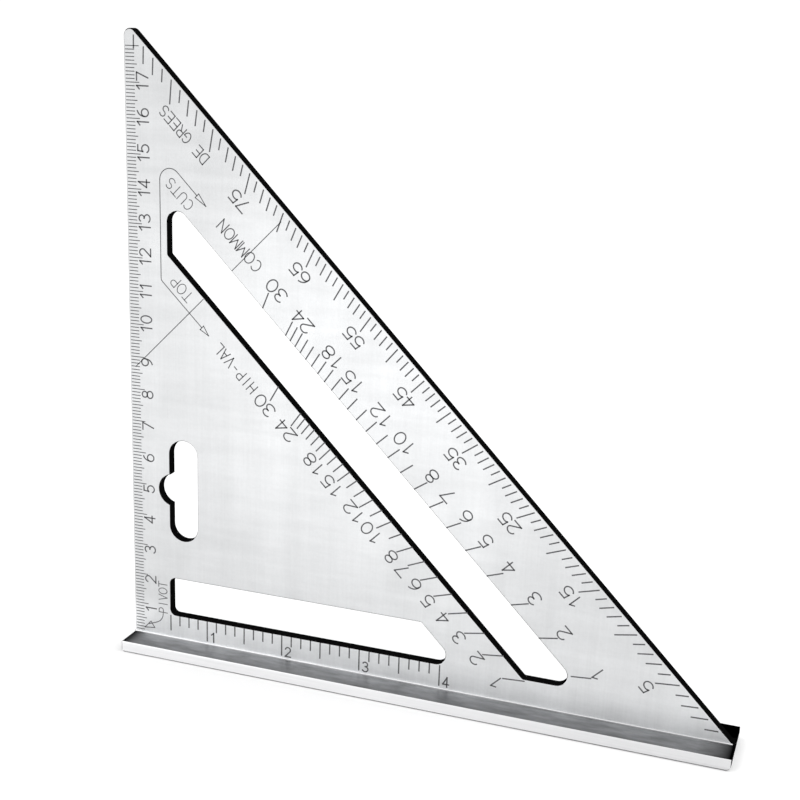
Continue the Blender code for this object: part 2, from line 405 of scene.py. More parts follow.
outlines = plate_outlines("blade")
print("outline points:", [len(outline) for outline in outlines])

# %% Blade surface
BREAK_RADIUS = 0.4 * MM
BREAK_STEPS = 6
BRIGHT_STEPS = 1  # how many of them keep the satin before the painted black begins
BRIGHT_STEPS_BELOW = 2  # and how many on the sides that face left or down, where the painted black shows thinner


def plate(outlines, front, back):
    """A plate with broken edges. At turn t of the break, from 0 to 90 degrees, the outline
    is inset by r (1 - sin t) and lies r (1 - cos t) behind the face. Returns the points,
    the faces, which faces are wall and take the painted black, and which faces belong to the edges at all."""
    turn = np.linspace(0, math.pi / 2, BREAK_STEPS + 1)
    inward = BREAK_RADIUS * (1 - np.sin(turn))
    depth = BREAK_RADIUS * (1 - np.cos(turn))
    insets = np.concatenate([inward, inward[::-1]])
    ys = np.concatenate([front + depth, back - depth[::-1]])
    points, faces, wall, front_rings = [], [], [], []
    start = 0
    for outline in outlines:
        rings = np.stack([inset(outline, step) for step in insets])
        depths = np.broadcast_to(ys[:, None], rings.shape[:2])
        rim = np.stack([rings[..., 0], depths, rings[..., 1]], axis=-1)
        quads = grid_quads(*rim.shape[:2], close_columns=True)[:, ::-1] + start
        along = np.roll(outline, -1, axis=0) - outline
        # Painted shade by facing: the painted black starts one step nearer the face on sides that face up
        # than on sides that face left or down.
        faces_up = along[:, 1] > along[:, 0]
        bright = np.where(faces_up, BRIGHT_STEPS, BRIGHT_STEPS_BELOW)
        row = np.arange(len(ys) - 1)[:, None]
        dark = ((row >= bright) & (row < len(ys) - 1 - BRIGHT_STEPS)).ravel()
        points.append(rim.reshape(-1, 3))
        faces += quads.tolist()
        wall.append(dark)
        front_rings.append((start, rings[0]))
        start += rim.shape[0] * rim.shape[1]
    row_points = np.concatenate([first + np.arange(len(ring)) for first, ring in front_rings])
    last_row = np.concatenate([
        first + (len(ys) - 1) * len(ring) + np.arange(len(ring)) for first, ring in front_rings
    ])
    triangles = fill([ring for _, ring in front_rings])
    edge_count = len(faces)
    faces += row_points[triangles].tolist() + last_row[triangles][:, ::-1].tolist()
    wall = np.concatenate(wall + [np.zeros(2 * len(triangles), bool)])
    return np.vstack(points), faces, wall, np.arange(len(faces)) < edge_count


points, faces, wall, edges = plate(outlines, FRONT_Y, BACK_Y)
blade = make_piece("cut_blade", points, faces, [satin, painted_black], wall, edges)
settle(blade, "blade", "blade")

# %% [markdown]
# ## Finishes of the fence
# The fence is a drawn aluminium bar. Its front and back keep the bright drawn finish, a
# little duller towards the tip. Its two bearing faces are rubbed dull and smudged, and their
# grey is painted shade, paler beside the blade as a painted reflection of it and greyest
# along the outer edge. Both ends are painted black, a painted dark reflection, and the black
# reaches furthest behind the blade, painted shade on the back half.

# %% Drawn aluminium
DULL_FROM = -10.0  # mm along X, where the drawn finish starts to dull
DULL_AT_TIP = 0.78


def drawn_aluminium():
    """Bright drawn metal: pale, with die lines along the bar, and duller towards the tip."""
    material, tree, mm = new_finish("drawn_aluminium")
    along_bar = add_node(tree, "ShaderNodeMapping", {}, {"Vector": mm, "Scale": (0.02, 1.0, 1.0)})
    lines = add_node(tree, "ShaderNodeTexNoise", {},
                     {"Vector": along_bar.outputs[0], "Scale": 1 / 0.5, "Detail": 3.0})
    shade = add_node(tree, "ShaderNodeMapRange", {},
                     {"Value": lines.outputs[0], "From Min": 0.3, "From Max": 0.7,
                      "To Min": 0.96, "To Max": 1.02})
    place = add_node(tree, "ShaderNodeSeparateXYZ", {}, {"Vector": mm})
    towards_tip = add_node(tree, "ShaderNodeMapRange", {},
                           {"Value": place.outputs["X"], "From Min": DULL_FROM,
                            "From Max": fence_high[0] / MM, "To Min": 1.0, "To Max": DULL_AT_TIP})
    duller = add_node(tree, "ShaderNodeMath", {"operation": "MULTIPLY"},
                      {0: shade.outputs[0], 1: towards_tip.outputs[0]})
    tint = add_node(tree, "ShaderNodeVectorMath", {"operation": "SCALE"},
                    {0: linear("#f0f0f1")[:3], "Scale": duller.outputs[0]})
    die_lines = add_node(tree, "ShaderNodeBump", {},
                         {"Height": lines.outputs[0], "Strength": 0.25, "Distance": 0.01 * MM})
    set_surface(tree, {"Base Color": tint.outputs[0], "Metallic": 1.0,
                       "Roughness": 0.34, "Normal": die_lines.outputs[0]})
    return material


drawn = drawn_aluminium()

# %% Bearing face, with painted shade and painted reflection
PAINTED_BLACK_AT_TIP = (10.0, 0.5)  # mm from the end, where the painted black starts and where it is complete
PAINTED_BLACK_AT_HEEL = 6.0
PAINTED_BLACK_FURTHER_BEHIND = 8.0


def worn_bearing_face():
    """Grey metal, rubbed dull, its grey a painted shade: lighter beside the blade, a painted
    reflection of it, darker outwards, and painted black, which is no metal, near the ends.
    Behind the blade the painted black reaches further."""
    material, tree, mm = new_finish("worn_bearing_face")
    place = add_node(tree, "ShaderNodeSeparateXYZ", {}, {"Vector": mm})
    outwards = add_node(tree, "ShaderNodeMath", {"operation": "ABSOLUTE"}, {0: place.outputs["Y"]})
    # Painted reflection: paler beside the blade, which the face mirrors, greyer outwards.
    across = add_node(tree, "ShaderNodeMapRange", {},
                      {"Value": outwards.outputs[0], "From Min": 2.0, "From Max": fence_high[1] / MM,
                       "To Min": 1.0, "To Max": 0.62})
    # Painted dark reflection: black at both ends, with no metal there, reaching further on the back half as
    # painted shade.
    behind_blade = add_node(tree, "ShaderNodeMapRange", {},
                            {"Value": place.outputs["Y"], "From Min": -1.0, "From Max": 1.0,
                             "To Min": 0.0, "To Max": PAINTED_BLACK_FURTHER_BEHIND})
    black_reach = add_node(tree, "ShaderNodeMath", {"operation": "ADD"},
                          {0: place.outputs["X"], 1: behind_blade.outputs[0]})
    tip_end = add_node(tree, "ShaderNodeMapRange", {},
                       {"Value": black_reach.outputs[0], "From Min": fence_high[0] / MM - PAINTED_BLACK_AT_TIP[0],
                        "From Max": fence_high[0] / MM - PAINTED_BLACK_AT_TIP[1],
                        "To Min": 1.0, "To Max": 0.0})
    heel_end = add_node(tree, "ShaderNodeMapRange", {"interpolation_type": "SMOOTHSTEP"},
                        {"Value": place.outputs["X"], "From Min": fence_low[0] / MM,
                         "From Max": fence_low[0] / MM + PAINTED_BLACK_AT_HEEL, "To Min": 0.03, "To Max": 1.0})
    along_bar = add_node(tree, "ShaderNodeMapping", {}, {"Vector": mm, "Scale": (0.3, 1.0, 1.0)})
    smudges = add_node(tree, "ShaderNodeTexNoise", {},
                       {"Vector": along_bar.outputs[0], "Scale": 1 / 3, "Detail": 6.0, "Roughness": 0.65})
    smudge = add_node(tree, "ShaderNodeMapRange", {},
                      {"Value": smudges.outputs[0], "From Min": 0.3, "From Max": 0.7,
                       "To Min": 0.6, "To Max": 1.25})
    unblackened_share = add_node(tree, "ShaderNodeMath", {"operation": "MULTIPLY"},
                     {0: tip_end.outputs[0], 1: heel_end.outputs[0]})
    shade = unblackened_share
    for layer in (across, smudge):
        shade = add_node(tree, "ShaderNodeMath", {"operation": "MULTIPLY"},
                         {0: shade.outputs[0], 1: layer.outputs[0]})
    tint = add_node(tree, "ShaderNodeVectorMath", {"operation": "SCALE"},
                    {0: linear("#9a9b9d")[:3], "Scale": shade.outputs[0]})
    set_surface(tree, {"Base Color": tint.outputs[0], "Metallic": unblackened_share.outputs[0],
                       "Roughness": 0.42, "Specular IOR Level": 0.0})
    return material


shaded_bearing = worn_bearing_face()

# %% [markdown]
# ## The fence
# The fence is a bar with a groove down the middle of its top. After the blade is pressed
# in, the groove's two lips are rolled against it, which leaves a thin bright bead along
# each side of the blade. Its section is a profile of straight runs and small arcs, and it
# is carried along X. Two functions of the distance to the nearer end shape the ends: the
# section shrinks a little for the broken edge, and its underside lifts for the round
# lower corner.

# %% Fence section
ARC_STEP = 15.0  # degrees between points of a round


def arc(centre, radii, start, end):
    """Points on a circle or an ellipse from one angle to another in degrees:
    centre + (rx cos t, ry sin t)."""
    count = max(2, math.ceil(abs(end - start) / ARC_STEP) + 1)
    angles = np.radians(np.linspace(start, end, count))
    return np.asarray(centre) + np.asarray(radii) * np.stack([np.cos(angles), np.sin(angles)], axis=1)


GROOVE_CLEARANCE = 0.02 * MM
GROOVE_FLOOR = blade_low[2] - 0.3 * MM
BEAD_WIDTH = 0.5 * MM
BEAD_HEIGHT = 0.45 * MM
FENCE_BREAK = 0.3 * MM

half_width, bearing_height = fence_high[1], fence_high[2]
bead_inside = BACK_Y + GROOVE_CLEARANCE
bead_radius = BEAD_WIDTH / 2
bead_middle = (bead_inside + bead_radius, bearing_height + BEAD_HEIGHT - bead_radius)
corner = half_width - FENCE_BREAK
runs = [
    ("groove", np.array([(0.0, GROOVE_FLOOR), (bead_inside, GROOVE_FLOOR)])),
    ("bead", arc(bead_middle, bead_radius, 180, 0)),
    ("bearing", np.array([(bead_inside + BEAD_WIDTH, bearing_height)])),
    ("upper break", arc((corner, bearing_height - FENCE_BREAK), FENCE_BREAK, 90, 0)),
    ("foot", arc((corner, FENCE_BREAK), FENCE_BREAK, 0, -15)),
    ("lower break", arc((corner, FENCE_BREAK), FENCE_BREAK, -30, -90)),
]
half = np.vstack([run for _, run in runs])
half_names = [name for name, run in runs for _ in run]
section = np.vstack([half * (-1, 1), half[:0:-1]])
names = np.array(half_names + half_names[:0:-1])
print("fence section points:", len(section))

# %% Fence surface
END_BREAK = 0.15 * MM
HEEL_RADIUS = 0.8 * MM
TIP_RADIUS = 1.6 * MM
MIDDLE_STATIONS = 24


def rise(distance, radius):
    """How far a quarter circle still is from its straight run, at a distance from the end:
    r - sqrt(r^2 - (r - d)^2), and nothing past the radius."""
    short = np.clip(radius - distance, 0.0, None)
    return radius - np.sqrt(radius**2 - short**2)


def bar():
    """The fence section at each station along X. Near an end it is inset by rise(d, break),
    and its lower part lifts by rise(d, corner), all of it at the underside and none at the
    groove's floor."""
    turn = 1 - np.cos(np.radians(np.linspace(0, 90, 13)))
    low, high = fence_low[0], fence_high[0]
    xs = np.concatenate([
        low + HEEL_RADIUS * turn,
        np.linspace(low + HEEL_RADIUS, high - TIP_RADIUS, MIDDLE_STATIONS)[1:-1],
        high - TIP_RADIUS * turn[::-1],
    ])
    to_end = np.minimum(xs - low, high - xs)
    rings = np.stack([inset(section, shrink) for shrink in rise(to_end, END_BREAK)])
    lift = rise(xs - low, HEEL_RADIUS) + rise(high - xs, TIP_RADIUS)
    below_groove = 1 - np.minimum(rings[..., 1], GROOVE_FLOOR) / GROOVE_FLOOR
    heights = rings[..., 1] + lift[:, None] * below_groove
    across = np.broadcast_to(xs[:, None], heights.shape)
    points = np.stack([across, rings[..., 0], heights], axis=-1)
    rows, columns = heights.shape
    quads = grid_quads(rows, columns, close_columns=True)
    cap = fill([rings[0]])
    faces = quads.tolist() + cap[:, ::-1].tolist() + (cap + (rows - 1) * columns).tolist()
    following = np.roll(names, -1)
    bearing = (names == "bearing") & (following == "upper break")
    bearing |= (names == "upper break") & (following == "bearing")
    # Painted shade: the lower break takes the painted black, a thin dark line along the bottom edge.
    lower_break = (names == "lower break") | (following == "lower break")
    rounded = (names == following) & (names != "groove") | lower_break
    rounded[len(half) - 1] = lower_break[len(half) - 1] = False
    finish = np.tile(np.where(lower_break, 2, bearing), (rows - 1, 1))
    # The broken ends, the end caps and the open groove past the blade take the painted black too, painted
    # shade.
    finish[to_end[:-1] + to_end[1:] < 2 * END_BREAK] = 2
    short_of_tip = np.where(section[:, 0] > 0, TIP_RADIUS, BEAD_HEIGHT)
    past_blade = xs[:-1, None] > blade_high[0] - short_of_tip
    finish[past_blade & np.isin(names, ("groove", "bead"))] = 2
    smooth = np.tile(rounded, (rows - 1, 1))
    finish = np.concatenate([finish.ravel(), np.full(2 * len(cap), 2)])
    smooth = np.concatenate([smooth.ravel(), np.zeros(2 * len(cap), bool)])
    return points.reshape(-1, 3), faces, finish, smooth


fence_points, fence_faces, fence_finish, fence_smooth = bar()
fence = make_piece("grooved_fence", fence_points, fence_faces, [drawn, shaded_bearing, painted_black],
                   fence_finish, fence_smooth)
settle(fence, "fence", "fence")

# %% [markdown]
# ## The pins
# Four countersunk steel pins, driven up through the fence into the foot of the blade, keep
# the two together. Only their heads would show, on the underside. Their CAD solids have
# the right shape already, so they stay and only take a better finish. Each one's hole is
# the pin itself made a hair thicker and carried on through the underside, and a Boolean
# takes it out of the fence and the blade.

# %% Pin steel
def brushed_steel():
    """Grey steel, dressed flush: fine turning marks and a slightly warm tint."""
    material, tree, mm = new_finish("dressed_pin_steel")
    marks = add_node(tree, "ShaderNodeTexNoise", {}, {"Vector": mm, "Scale": 1 / 0.3, "Detail": 3.0})
    shade = add_node(tree, "ShaderNodeMapRange", {},
                     {"Value": marks.outputs[0], "From Min": 0.3, "From Max": 0.7,
                      "To Min": 0.85, "To Max": 1.1})
    tint = add_node(tree, "ShaderNodeVectorMath", {"operation": "SCALE"},
                    {0: linear("#bdbcba")[:3], "Scale": shade.outputs[0]})
    scratches = add_node(tree, "ShaderNodeBump", {},
                         {"Height": marks.outputs[0], "Strength": 0.3, "Distance": 0.01 * MM})
    set_surface(tree, {"Base Color": tint.outputs[0], "Metallic": 1.0, "Roughness": 0.32,
                       "Normal": scratches.outputs[0]})
    return material


steel = brushed_steel()

# %% Pins and their holes
PINS = sorted(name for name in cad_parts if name.startswith("retaining_pin"))
HOLE_CLEARANCE = 0.1 * MM
HOLE_OVERRUN = 1.0 * MM


def pin_hole(node):
    """Points and triangles of a pin's hole: each point of the pin moved away from its axis
    by the clearance, the top raised by as much, and the bottom carried below the fence."""
    points, triangles = merged_mesh(node)
    low, high = points.min(axis=0), points.max(axis=0)
    outwards = points[:, :2] - (low + high)[:2] / 2
    distance = np.linalg.norm(outwards, axis=1, keepdims=True)
    grown = points.copy()
    grown[:, :2] += outwards / np.maximum(distance, 0.01 * MM) * HOLE_CLEARANCE
    grown[points[:, 2] > high[2] - 1e-6, 2] += HOLE_CLEARANCE
    grown[points[:, 2] < low[2] + 1e-6, 2] = -HOLE_OVERRUN
    return grown, triangles


def cut_pin_holes(piece):
    """Takes the pins' holes out of a piece. The Boolean is applied, so the mesh holds them."""
    points, triangles, start = [], [], 0
    for node in PINS:
        grown, faces = pin_hole(node)
        points.append(grown)
        triangles += (faces + start).tolist()
        start += len(grown)
    # The holes' walls take the painted black, painted shade inside the holes.
    cutter = make_piece("pin_holes", np.vstack(points), triangles, [painted_black],
                        np.zeros(len(triangles)), np.zeros(len(triangles)))
    cut = piece.modifiers.new("pin_holes", "BOOLEAN")
    cut.object = cutter
    cut.material_mode = "TRANSFER"
    whole = piece.data
    cut_piece = piece.evaluated_get(bpy.context.evaluated_depsgraph_get())
    piece.data = bpy.data.meshes.new_from_object(cut_piece)
    piece.modifiers.clear()
    bpy.data.objects.remove(cutter)
    print(f"{piece.name}: {len(whole.polygons)} faces before its holes, {len(piece.data.polygons)} after")


for drilled in (fence, blade):
    cut_pin_holes(drilled)
for node in PINS:
    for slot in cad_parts[node].material_slots:
        slot.material = steel
print("pins:", PINS, "with slots:", [len(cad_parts[node].material_slots) for node in PINS])

# %% [markdown]
# ## Strokes for the scales
# The scales are taken to be marked by a laser: each line is a track of dark oxide, from a
# quarter to two fifths of a millimetre wide, that stands on the metal by a hundredth or
# two. Printing them as a picture would blur them, so each stroke is a real thin band. Its
# middle line is a row of points, and the band's long edges are that row moved half a width
# to either side, once above the face and once below it.
# The letters are single strokes too, as an engraver's are: straight runs and arcs in a
# box one unit high.

# %% Strokes
STROKE_WIDTH = 0.40 * MM
LETTER_STROKE_WIDTH = 0.32 * MM
FINE_STROKE_WIDTH = 0.26 * MM
STROKE_PROUD = 0.02 * MM
STROKE_SUNK = 0.03 * MM
print("stroke widths in mm:", [round(width / MM, 2) for width in
                               (STROKE_WIDTH, LETTER_STROKE_WIDTH, FINE_STROKE_WIDTH)])


def quarter_left(directions):
    """Directions turned a quarter to the left."""
    return np.stack([-directions[:, 1], directions[:, 0]], axis=1)


def without_sharp_turns(stroke):
    """The stroke in parts, cut wherever it turns by more than 60 degrees, since the laser
    stops there and sets off again."""
    along = np.diff(stroke, axis=0)
    along = along / np.linalg.norm(along, axis=1, keepdims=True)
    cuts = np.flatnonzero((along[:-1] * along[1:]).sum(axis=1) < 0.5) + 1
    return [stroke[first:last + 1] for first, last in zip([0, *cuts], [*cuts, len(stroke) - 1])]


def band(stroke, width):
    """The left and right side of a stroke's band, and whether it joins its own start. At
    each point the mitre is (a + b) / (1 + a.b) for the left normals a and b of the two runs."""
    ring = len(stroke) > 3 and np.allclose(stroke[0], stroke[-1], atol=1e-6)
    line = stroke[:-1] if ring else stroke
    after = np.roll(line, -1, axis=0) - line
    after[-1] = after[-1] if ring else after[-2]
    after = after / np.linalg.norm(after, axis=1, keepdims=True)
    before = np.roll(after, 1, axis=0)
    before[0] = before[0] if ring else after[0]
    normals = quarter_left(before), quarter_left(after)
    dots = (normals[0] * normals[1]).sum(axis=1, keepdims=True)
    mitre = (normals[0] + normals[1]) / (1 + dots)
    if not ring:
        line = line.copy()
        line[0] -= after[0] * width / 2
        line[-1] += after[-1] * width / 2
    return line + mitre * width / 2, line - mitre * width / 2, ring


# %% Marks on a face
def marks(name, strokes, finish, width=STROKE_WIDTH, side=1):
    """One piece from many strokes on a face of the blade, the front for side 1 and the back
    for side -1. Each band has its outer side a little proud of the face and its inner side
    sunk in it."""
    points, faces, start = [], [], 0
    face_y = FRONT_Y if side == 1 else BACK_Y
    outer, inner = face_y - side * STROKE_PROUD, face_y + side * STROKE_SUNK
    for stroke in (part for stroke in strokes for part in without_sharp_turns(stroke)):
        left, right, ring = band(stroke, width)
        corners = ((left, outer), (right, outer), (right, inner), (left, inner))
        rows = np.stack([on_blade(places, y) for places, y in corners], axis=1)
        quads = grid_quads(len(left), 4, close_rows=ring, close_columns=True) + start
        ends = [] if ring else [[start + 3, start + 2, start + 1, start],
                                [start + 4 * (len(left) - 1) + i for i in range(4)]]
        points.append(rows.reshape(-1, 3))
        faces += [face[::side] for face in quads.tolist() + ends]
        start += rows.shape[0] * 4
    flat = np.zeros(len(faces))
    settle(make_piece(name, np.vstack(points), faces, [finish], flat, flat), "blade")


# %% An engraver's letters
def path(*parts):
    """Points and arcs joined into one stroke, without repeating the point where two meet."""
    joined = np.vstack([np.atleast_2d(part) for part in parts])
    new_place = np.linalg.norm(np.diff(joined, axis=0), axis=1) > 1e-6
    return joined[np.concatenate([[True], new_place])]


WIDE = 0.60  # width of a letter one unit high
MID = WIDE / 2
LETTERS = {
    "0": [arc((MID, 0.5), (MID, 0.5), 0, 360)],
    "1": [path((0.10, 0.78), (0.34, 1.0), (0.34, 0.0))],
    "2": [path(arc((MID, 0.72), (0.28, 0.28), 165, -30), (0.0, 0.0), (WIDE, 0.0))],
    "3": [path(arc((MID - 0.02, 0.76), (0.26, 0.24), 150, -80),
               arc((MID - 0.02, 0.27), (0.31, 0.27), 85, -150))],
    "4": [path((WIDE, 0.27), (0.0, 0.27), (0.42, 1.0), (0.42, 0.0))],
    "5": [path((0.54, 1.0), (0.10, 1.0), (0.05, 0.55), arc((MID - 0.03, 0.33), (0.31, 0.32), 120, -150))],
    "6": [arc((MID, 0.31), (MID, 0.31), 0, 360),
          path((0.02, 0.36), arc((0.56, 0.40), (0.54, 0.60), 175, 105))],
    "7": [path((0.0, 1.0), (WIDE, 1.0), (0.20, 0.0))],
    "8": [arc((MID, 0.76), (0.25, 0.24), 0, 360), arc((MID, 0.27), (MID, 0.27), 0, 360)],
    "9": [arc((MID, 0.69), (MID, 0.31), 0, 360),
          path((0.58, 0.64), arc((0.04, 0.60), (0.54, 0.60), -5, -75))],
    "-": [path((0.14, 0.48), (0.46, 0.48))],
    "A": [path((0.0, 0.0), (MID, 1.0), (WIDE, 0.0)), path((0.12, 0.36), (0.48, 0.36))],
    "C": [arc((MID + 0.02, 0.5), (0.32, 0.5), 50, 310)],
    "D": [path((0.0, 0.0), (0.0, 1.0), (0.24, 1.0), arc((0.24, 0.5), (0.36, 0.5), 90, -90), (0.0, 0.0))],
    "E": [path((WIDE, 1.0), (0.05, 1.0), (0.05, 0.0), (WIDE, 0.0)), path((0.05, 0.52), (0.50, 0.52))],
    "G": [path(arc((MID + 0.02, 0.5), (0.32, 0.5), 50, 340), (0.62, 0.46), (0.36, 0.46))],
    "H": [path((0.03, 0.0), (0.03, 1.0)), path((0.57, 0.0), (0.57, 1.0)), path((0.03, 0.5), (0.57, 0.5))],
    "I": [path((MID, 0.0), (MID, 1.0))],
    "L": [path((0.08, 1.0), (0.08, 0.0), (0.56, 0.0))],
    "M": [path((0.0, 0.0), (0.0, 1.0), (MID, 0.25), (WIDE, 1.0), (WIDE, 0.0))],
    "N": [path((0.02, 0.0), (0.02, 1.0), (0.58, 0.0), (0.58, 1.0))],
    "O": [arc((MID, 0.5), (MID + 0.03, 0.5), 0, 360)],
    "P": [path((0.06, 0.0), (0.06, 1.0), (0.34, 1.0),
               arc((0.34, 0.74), (0.22, 0.26), 90, -90), (0.06, 0.48))],
    "R": [path((0.04, 0.0), (0.04, 1.0), (0.34, 1.0),
               arc((0.34, 0.74), (0.22, 0.26), 90, -90), (0.04, 0.48)),
          path((0.30, 0.48), (0.58, 0.0))],
    "S": [path(arc((MID, 0.75), (0.26, 0.25), 40, 250), arc((MID, 0.26), (0.28, 0.26), 75, -150))],
    "T": [path((MID, 0.0), (MID, 1.0)), path((0.0, 1.0), (WIDE, 1.0))],
    "U": [path((0.02, 1.0), (0.02, 0.30), arc((MID, 0.30), (0.28, 0.30), 180, 360), (0.58, 1.0))],
    "V": [path((0.0, 1.0), (MID, 0.0), (WIDE, 1.0))],
}


print("letters and figures:", len(LETTERS))


# %% Lettering
def turned(places, degrees):
    """(u, v) places turned about the pivot corner."""
    angle = math.radians(degrees)
    return places @ np.array([[math.cos(angle), math.sin(angle)], [-math.sin(angle), math.cos(angle)]])


LETTER_SHARE = 0.8  # of the step from one letter to the next, the rest is the gap


def lettering(text, centre, direction, height, pitch=0.95, side=1):
    """Strokes of a text in (u, v), centred on a place and running in a direction in degrees.
    pitch is the step from one letter to the next, in letter heights. For side -1 the text
    is mirrored, so that it reads from the back."""
    strokes = []
    for i, letter in enumerate(text):
        step = (i - (len(text) - 1) / 2) * pitch
        for stroke in LETTERS.get(letter, []):
            across = ((stroke[:, 0] - MID) * pitch * LETTER_SHARE / WIDE + step) * side
            placed = np.stack([across, stroke[:, 1] - 0.5], axis=1) * height
            strokes.append(np.asarray(centre) + turned(placed, direction))
    return strokes


# %% Laser oxide
def laser_oxide():
    """The dark grey oxide of a laser mark: matt, and a little uneven along the track."""
    material, tree, mm = new_finish("laser_oxide")
    pulses = add_node(tree, "ShaderNodeTexNoise", {}, {"Vector": mm, "Scale": 1 / 0.8, "Detail": 2.0})
    shade = add_node(tree, "ShaderNodeMapRange", {},
                     {"Value": pulses.outputs[0], "From Min": 0.3, "From Max": 0.7,
                      "To Min": 0.7, "To Max": 1.35})
    tint = add_node(tree, "ShaderNodeVectorMath", {"operation": "SCALE"},
                    {0: linear("#58585a")[:3], "Scale": shade.outputs[0]})
    set_surface(tree, {"Base Color": tint.outputs[0], "Roughness": 0.7, "Specular IOR Level": 0.2})
    return material


oxide = laser_oxide()

# %% [markdown]
# ## The leg scale
# The leg is a ruler in centimetres. Its ticks start just inside the edge, and those of
# five and ten millimetres are longer. The numbers are turned so that they read up the leg.

# %% Leg scale
def leg_ticks():
    """A level tick at each millimetre of the leg up to 180, longer at each fifth and tenth."""
    strokes = []
    for millimetre in range(1, 181):
        reach = 4.7 if millimetre % 10 == 0 else 4.0 if millimetre % 5 == 0 else 3.2
        strokes.append(np.array([(0.6, millimetre), (reach, millimetre)]) * MM)
    return strokes


def leg_numbers(side=1):
    """Each centimetre's number, beside its tick: one figure just below it, two across it."""
    strokes = []
    for centimetre in range(1, 18):
        text = str(centimetre)
        middle = 10 * centimetre + (0.35 if len(text) == 2 else -1.4)
        strokes += lettering(text, (5.75 * MM, middle * MM), 90, 3.6 * MM, 0.76, side)
    return strokes


marks("leg_ticks", leg_ticks(), oxide, FINE_STROKE_WIDTH)
marks("leg_numbers", leg_numbers(), oxide)

# %% [markdown]
# ## Scales that fan out from the pivot
# To read an angle, the square is turned about its pivot, so every tick on the degree
# scale and on the two rafter scales lies on a ray from the pivot. The scales run parallel
# to the sloping edge, where u + v is the same all along, so a ray at an angle a crosses
# the line u + v = s at a distance s / (cos a + sin a). The common rafter scale is in
# inches of rise for 12 inches of run, and a hip or valley rafter runs 12 root 2.

# %% Rays
def on_ray(angle, total):
    """The (u, v) place where the ray at an angle from the pivot, in degrees, crosses u + v = total."""
    direction = np.array([math.cos(math.radians(angle)), math.sin(math.radians(angle))])
    return direction * total / direction.sum()


def tick(angle, first, last):
    """A tick on a ray between two lines parallel to the sloping edge, in mm of u + v."""
    return np.stack([on_ray(angle, first * MM), on_ray(angle, last * MM)])


UP_THE_SLOPE = 135  # degrees: labels here read up the slope with their tops to the pivot


def beside_ray(angle, total, lean, level):
    """A label's place from mm: on the ray, moved up the slope by lean at 0 degrees and by
    nothing at level."""
    shift = lean * (1 - angle / level)
    return (on_ray(angle, total) + shift * turned(np.array([[1.0, 0.0]]), UP_THE_SLOPE)[0]) * MM


def degree_scale(side=1):
    """A tick on each degree's ray, ending on one line, and a number at every ten from five."""
    strokes = []
    for degree in range(1, 90):
        from_five = min(degree % 5, 5 - degree % 5)
        strokes.append(tick(degree, (179.0, 182.5, 181.4)[from_five], 186.0))
    for degree in range(5, 80, 10):
        place = beside_ray(degree, 175.0, -2.0, 45)
        strokes += lettering(str(degree), place, UP_THE_SLOPE, 3.7 * MM, 0.95, side)
    return strokes


RISES = [*range(1, 25), 30]
LABELLED_RISES = [1, 2, 3, 4, 5, 6, 7, 8, 10, 12, 15, 18, 24, 30]


def rafter_scale(run, edge, plain_end, labelled_end, label_line, lean, level, nudges):
    """Ticks and numbers for each rise in inches over a run in inches. The lines are in mm of
    u + v, and nudges moves a few numbers further along the slope."""
    strokes = []
    for rise_in_inches in RISES:
        angle = math.degrees(math.atan2(rise_in_inches, run))
        labelled = rise_in_inches in LABELLED_RISES
        strokes.append(tick(angle, edge, labelled_end if labelled else plain_end))
        if labelled:
            place = beside_ray(angle, label_line, lean, level)
            along_slope = turned(np.array([[1.0, 0.0]]), UP_THE_SLOPE)[0]
            nudge = nudges.get(rise_in_inches, 0.0) * MM * along_slope
            strokes += lettering(str(rise_in_inches), place + nudge, UP_THE_SLOPE, 3.9 * MM)
    return strokes


common = rafter_scale(12, 152.6, 158.6, 158.6, 162.2, 2.2, 60, {18: -0.9, 24: -2.6, 30: -1.8})
hip_valley = rafter_scale(12 * math.sqrt(2), 134.7, 129.3, 128.0, 124.4, -2.2, 45, {})
scale_names = [
    *lettering("DE GREES", (18.8 * MM, 156.3 * MM), UP_THE_SLOPE, 3.2 * MM, 0.78),
    *lettering("COMMON", (36.2 * MM, 126.2 * MM), UP_THE_SLOPE, 3.5 * MM, 0.85),
    *lettering("HIP-VAL", (35.0 * MM, 90.1 * MM), UP_THE_SLOPE, 3.4 * MM, 0.74),
]
marks("degree_scale", degree_scale(), oxide)
marks("common_rafter_scale", common, oxide)
marks("hip_valley_rafter_scale", hip_valley, oxide)
marks("scale_names", scale_names, oxide, LETTER_STROKE_WIDTH)

# %% [markdown]
# ## The inch scale and the guides
# Under the layout slot is a short ruler in eighths of an inch, used with the square laid
# along a board. Beside the slots, a bracket with two arrowheads names the two cuts of a
# rafter, a line at 45 degrees helps to set a level cut, and a curved arrow points out the
# pivot.

# %% Inch scale and guides
INCH = 25.4 * MM


def inch_scale():
    """An upright tick at each eighth from half an inch on, longer at halves and inches."""
    strokes = []
    for eighth in range(4, 33):
        foot = 1.1 if eighth % 8 == 0 else 2.5 if eighth % 4 == 0 else 4.5
        u = INCH * eighth / 8
        strokes.append(np.array([(u, 7.4 * MM), (u, foot * MM)]))
    for inch in range(1, 5):
        strokes += lettering(str(inch), (inch * INCH + 2.1 * MM, 2.45 * MM), 0, 3.1 * MM, 0.72)
    return strokes


def arrowhead(tip, direction, length, spread):
    """A closed slim triangle with its tip at a place in mm."""
    triangle = np.array([(0.0, 0.0), (-length, spread), (-length, -spread), (0.0, 0.0)])
    return (turned(triangle, direction) + tip) * MM


